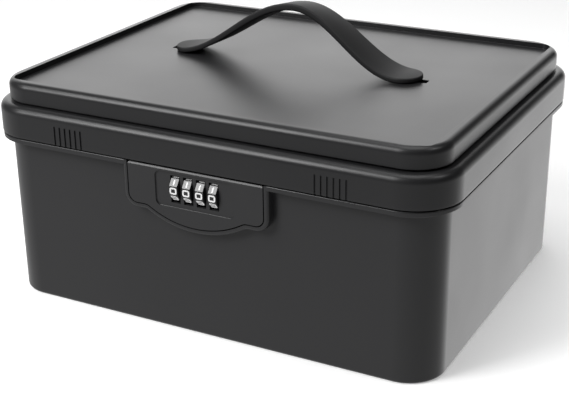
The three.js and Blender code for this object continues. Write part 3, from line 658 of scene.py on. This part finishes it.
# Latch flap. The plate that closes over the seam, hung from the lid on two short pins and moulded with the
# tub, with a shallow recess round the four windows for the number wheels.
flap_top = 0.1059
flap_thickness = 0.003
flap_skin = 0.0009
flap_top_corner = 0.0012
flap_top_round = 0.0037
before_flap = -0.13
behind_flap = -0.11
above_flap = 0.11
boss_places = (0.0205, 0.0347)
boss_width = 0.0045
boss_radius = 0.0024
boss_front = -0.1177
boss_back = -0.1146
boss_bottom = 0.0985
latch_pin_ends = (0.0389, 0.0208)
ear_slot = (0.025, 0.0347)
ear_slot_bottom = 0.1001
carrier_screw_x = 0.026
carrier_screw_z = 0.0858
wheel_places = (-0.01275, -0.00425, 0.00425, 0.01275)
window_half = 0.00315
window_height = (0.0851, 0.1019)
recess_half_x = 0.0261
recess_half_z = 0.0108
recess_corner = 0.0035
recess_middle = 0.093
recess_edge = [(0.0001, 0.0006), (0.0002, 0.0002)]
hollow_half = 0.0195
hollow_skin = 0.0015
hollow_height = (0.0887, 0.0983)
flap = latch_outline(0, flap_top, flap_front, flap_front + flap_thickness, flap_top_corner)
flap.name = "latch_plate"
past_side = latch_half_width + overrun
top_edge = block(around(0, past_side), (flap_front - overrun, latch_axis_y),
                 (latch_axis_z, flap_top + overrun))
combine(top_edge, "DIFFERENCE",
        cross_rod(flap_top_round, around(0, past_side + overrun), latch_axis_y, latch_axis_z, 96))
combine(flap, "DIFFERENCE", top_edge)
for side in (-1, 1):
    for inner in boss_places:
        across = sorted((side * inner, side * (inner + boss_width)))
        combine(flap, "UNION",
                block(across, (boss_front, boss_back), (boss_bottom, latch_axis_z)),
                cross_rod(boss_radius, across, latch_axis_y, latch_axis_z))
    combine(flap, "DIFFERENCE",
            block(sorted(side * end for end in ear_slot), (flap_front + flap_skin, behind_flap),
                  (ear_slot_bottom, above_flap)),
            cross_rod(latch_pin_bore, [side * end for end in latch_pin_ends], latch_axis_y, latch_axis_z, 16),
            rod(screw_bore, (side * carrier_screw_x, flap_front + flap_skin, carrier_screw_z),
                (side * carrier_screw_x, behind_flap, carrier_screw_z), 16))
for x in wheel_places:
    combine(flap, "DIFFERENCE",
            block(around(x, window_half), (before_flap, behind_flap), window_height))
recess = stacked("tool", recess_half_x, recess_half_z, recess_corner, 0,
                 [(0, flap_thickness)], recess_edge, 6)
recess.data.transform(
    Matrix.Translation((0, flap_front, recess_middle)) @ Matrix.Rotation(math.pi / 2, 4, "X"))
combine(flap, "DIFFERENCE", recess,
        block(around(0, hollow_half), (flap_front + hollow_skin, behind_flap), hollow_height))
soften(flap, 0.0002, 30)
paint(flap, tub_plastic)
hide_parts("latch_flap")
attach(flap, "flap")


# Number wheels. Ten flat sides each, moulded in glossy black plastic, with white figures printed on the
# flats: the reading figure at the front, the next one above it.
lock_y = -0.1130
lock_z = 0.0935
wheel_flats = 10
wheel_width = 0.0056
wheel_radius = 0.00844
flat_radius = wheel_radius * math.cos(math.pi / wheel_flats)
wheel_bore = 0.0021
left_bore = 0.0031
left_bore_end = -0.0013
right_bore = 0.0046
right_bore_end = 0.0001
ink_levels = (0.00003, -0.0001)
pen = 0.00095
pen_corner = 0.0008
figure_width = 0.0046
figure_height = 0.0041
bar_left = pen / 2 / (figure_width - pen)
bar_right = 1 - bar_left
# Pen strokes of the figures 0 to 9, across and up a square. A bar that meets another stops at its edge.
figure_strokes = [
    [[(0, 0), (1, 0), (1, 1), (0, 1), (0, 0)]],
    [[(0.5, 0), (0.5, 1)]],
    [[(0, 1), (1, 1), (1, 0.5), (0, 0.5), (0, 0), (1, 0)]],
    [[(0, 1), (1, 1), (1, 0), (0, 0)], [(0.2, 0.5), (bar_right, 0.5)]],
    [[(0, 1), (0, 0.4), (bar_right, 0.4)], [(1, 1), (1, 0)]],
    [[(1, 1), (0, 1), (0, 0.5), (1, 0.5), (1, 0), (0, 0)]],
    [[(1, 1), (0, 1), (0, 0), (1, 0), (1, 0.5), (bar_left, 0.5)]],
    [[(0, 1), (1, 1), (0.4, 0)]],
    [[(0, 0), (1, 0), (1, 1), (0, 1), (0, 0)], [(bar_left, 0.5), (bar_right, 0.5)]],
    [[(0, 0), (1, 0), (1, 1), (0, 1), (0, 0.5), (bar_right, 0.5)]],
]


def glossy_plastic():
    """Black acetal, polished by the mould: a sharp highlight on each flat, a little uneven every 2.5 mm."""
    swirls_per_metre = 400
    material, tree = new_material("polished_acetal_wheel")
    place = add_node(tree, "ShaderNodeTexCoord")
    swirl = add_node(tree, "ShaderNodeTexNoise", {
        "Vector": place.outputs["Object"], "Scale": swirls_per_metre, "Detail": 2})
    gloss = add_node(tree, "ShaderNodeMapRange", {
        "Value": swirl.outputs["Fac"], "To Min": 0.24, "To Max": 0.34})
    surface = add_node(tree, "ShaderNodeBsdfPrincipled", {
        "Base Color": linear("161617"), "Roughness": gloss.outputs["Result"], "IOR": 1.48})
    add_node(tree, "ShaderNodeOutputMaterial", {"Surface": surface.outputs["BSDF"]})
    return material


def printed_white():
    """Pad-printed white ink: dull, and slightly uneven in patches of 1.1 mm."""
    patches_per_metre = 900
    material, tree = new_material("printed_white_ink")
    place = add_node(tree, "ShaderNodeTexCoord")
    patch = add_node(tree, "ShaderNodeTexNoise", {
        "Vector": place.outputs["Object"], "Scale": patches_per_metre, "Detail": 3})
    tone = add_node(tree, "ShaderNodeMix", {
        "Factor": patch.outputs["Fac"], 6: linear("d8d8d8"), 7: linear("f4f4f4")}, data_type="RGBA")
    surface = add_node(tree, "ShaderNodeBsdfPrincipled", {"Base Color": tone.outputs[2], "Roughness": 0.5})
    add_node(tree, "ShaderNodeOutputMaterial", {"Surface": surface.outputs["BSDF"]})
    return material


def pen_path(stroke):
    """A stroke's middle line with its corners rounded."""
    points = [Vector(((u - 0.5) * (figure_width - pen), (v - 0.5) * (figure_height - pen)))
              for u, v in stroke]
    if points[0] == points[-1]:
        points = [(points[0] + points[1]) / 2] + points[1:] + [(points[0] + points[1]) / 2]
    path = [points[0]]
    for before, corner, after in zip(points, points[1:], points[2:]):
        reach = min(pen_corner, (corner - before).length / 2, (after - corner).length / 2)
        start = corner + (before - corner).normalized() * reach
        end = corner + (after - corner).normalized() * reach
        path += [start.lerp(corner, t).lerp(corner.lerp(end, t), t) for t in (0, 0.25, 0.5, 0.75, 1)]
    return path + [points[-1]]


def ink_stroke(figures, stroke, turn):
    """A stroke as a thin film that stands a little out of the flat it is printed on."""
    path = pen_path(stroke)
    ring = path[0] == path[-1]
    edges = []
    for i, point in enumerate(path):
        before, after = path[max(i - 1, 0)], path[min(i + 1, len(path) - 1)]
        if ring and i in (0, len(path) - 1):
            before, after = path[-2], path[1]
        along = (after - before).normalized() * (pen / 2)
        edges.append([(point.x + side * along.y, point.y - side * along.x) for side in (-1, 1)])
    top, under = [[[figures.verts.new(turn @ Vector((px, py, level))) for px, py in pair] for pair in edges]
                  for level in ink_levels]
    for a, b, c, d in zip(top, top[1:], under, under[1:]):
        figures.faces.new((a[0], a[1], b[1], b[0]))
        figures.faces.new((d[0], d[1], c[1], c[0]))
        figures.faces.new((c[0], a[0], b[0], d[0]))
        figures.faces.new((a[1], c[1], d[1], b[1]))
    if not ring:
        figures.faces.new((top[0][1], top[0][0], under[0][0], under[0][1]))
        figures.faces.new((top[-1][0], top[-1][1], under[-1][1], under[-1][0]))


wheel_plastic = glossy_plastic()
wheel_ink = printed_white()
for number, x in enumerate(wheel_places, 1):
    middle = Matrix.Translation((x, lock_y, lock_z))
    drum = bmesh.new()
    bmesh.ops.create_cone(drum, cap_ends=True, segments=wheel_flats, radius1=wheel_radius,
                          radius2=wheel_radius, depth=wheel_width)
    lying = Matrix.Rotation(math.pi / wheel_flats, 4, "X") @ Matrix.Rotation(math.pi / 2, 4, "Y")
    bmesh.ops.transform(drum, matrix=middle @ lying, verts=drum.verts)
    wheel = add_piece(f"number_wheel_{number}", drum, 20)
    combine(wheel, "DIFFERENCE",
            cross_rod(wheel_bore, around(x, wheel_width), lock_y, lock_z),
            cross_rod(left_bore, (x - wheel_width, x + left_bore_end), lock_y, lock_z),
            cross_rod(right_bore, (x + right_bore_end, x + wheel_width), lock_y, lock_z))
    soften(wheel, 0.0003, 20)
    paint(wheel, wheel_plastic)
    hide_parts(f"dial_wheel_{number}")
    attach(wheel, f"dial_{number}")
    figures = bmesh.new()
    for figure, strokes in enumerate(figure_strokes):
        lean = math.pi / 2 - math.tau * figure / wheel_flats
        turn = middle @ Matrix.Rotation(lean, 4, "X") @ Matrix.Translation((0, 0, flat_radius))
        for stroke in strokes:
            ink_stroke(figures, stroke, turn)
    bmesh.ops.remove_doubles(figures, verts=figures.verts, dist=1e-7)
    bmesh.ops.recalc_face_normals(figures, faces=figures.faces)
    print_mesh = bpy.data.meshes.new(f"wheel_figures_{number}")
    figures.to_mesh(print_mesh)
    figures.free()
    printed = bpy.data.objects.new(f"wheel_figures_{number}", print_mesh)
    bpy.context.scene.collection.objects.link(printed)
    paint(printed, wheel_ink)
    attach(printed, f"dial_{number}")


# Strap screws. Turned steel pan heads under the panel, which hold the strap's feet on the T-shaped ends.
# Their tips stop inside the feet, also when the strap lies flat.
pan_radius = 0.0022
pan_edge = 0.0006
pan_height = 0.0013
shank_radius = 0.0012
tip_radius = 0.0007
tip_length = 0.0005
tip_z = 0.1374
driver_half = 0.0004
driver_depth = 0.0006


def plain_steel():
    """Turned and stamped steel, tumbled bright: fine random scratches of about 0.6 mm."""
    scratches_per_metre = 1800
    material, tree = new_material("tumbled_steel")
    place = add_node(tree, "ShaderNodeTexCoord")
    scratch = add_node(tree, "ShaderNodeTexNoise", {
        "Vector": place.outputs["Object"], "Scale": scratches_per_metre, "Detail": 4})
    gloss = add_node(tree, "ShaderNodeMapRange", {
        "Value": scratch.outputs["Fac"], "To Min": 0.25, "To Max": 0.45})
    surface = add_node(tree, "ShaderNodeBsdfPrincipled", {
        "Base Color": linear("b9bbbd"), "Metallic": 1.0, "Roughness": gloss.outputs["Result"]})
    add_node(tree, "ShaderNodeOutputMaterial", {"Surface": surface.outputs["BSDF"]})
    return material


steel = plain_steel()
for word in ("left", "right"):
    low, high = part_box(f"strap_screw_{word}")
    x, y, head = (low[0] + high[0]) / 2, (low[1] + high[1]) / 2, low[2]
    outline = [(0, head), (pan_radius - pan_edge, head), (pan_radius, head + pan_edge),
               (pan_radius, head + pan_height), (shank_radius, head + pan_height),
               (shank_radius, tip_z - tip_length), (tip_radius, tip_z), (0, tip_z)]
    turned = bmesh.new()
    line = [turned.verts.new((x + radius, y, z)) for radius, z in outline]
    edges = [turned.edges.new(pair) for pair in zip(line, line[1:])]
    bmesh.ops.spin(turned, geom=line + edges, cent=(x, y, 0), axis=(0, 0, 1), angle=math.tau, steps=24,
                   use_merge=True)
    screw = add_piece(f"pan_screw_{word}", turned)
    combine(screw, "DIFFERENCE",
            block(around(x, pan_radius + overrun), around(y, driver_half),
                  (head - overrun, head + driver_depth)))
    paint(screw, steel)
    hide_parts(f"strap_screw_{word}")
    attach(screw, f"strap_end_{word}")


# Reset spring. Two turns of fine steel wire round the shaft of the number wheels, which are pressed together
# as the shaft slides.
coil_start = -0.01927
coil_end = -0.01736
coil_turns = 2
coil_steps = 48
coil_radius = 0.0016
wire_radius = 0.0002
coil = bmesh.new()
bmesh.ops.create_circle(coil, segments=8, radius=wire_radius)
bmesh.ops.translate(coil, vec=(coil_start, lock_y + coil_radius, lock_z), verts=coil.verts)
bmesh.ops.spin(coil, geom=list(coil.verts) + list(coil.edges), cent=(0, lock_y, lock_z), axis=(1, 0, 0),
               dvec=((coil_end - coil_start) / coil_steps, 0, 0), angle=math.tau * coil_turns,
               steps=coil_steps)
bmesh.ops.holes_fill(coil, edges=[edge for edge in coil.edges if edge.is_boundary])
spring = add_piece("coiled_spring", coil, 50)
paint(spring, steel)
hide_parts("reset_spring")
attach(spring, "flap")
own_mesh(spring)


# Lock works, pins and screws. Plain turned and stamped steel, and a carrier and slides moulded in black
# nylon, which show only when the box is open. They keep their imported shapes.
inner_plastic = sparked_plastic("moulded_nylon_inner", ("1e1e1f", "242425"), 0.55, 0.3)
for name, piece in nodes.items():
    if piece.hide_render:
        continue
    inner = name.startswith("strap_slider") or name in ("lock_carrier", "reset_slider")
    paint(piece, inner_plastic if inner else steel)
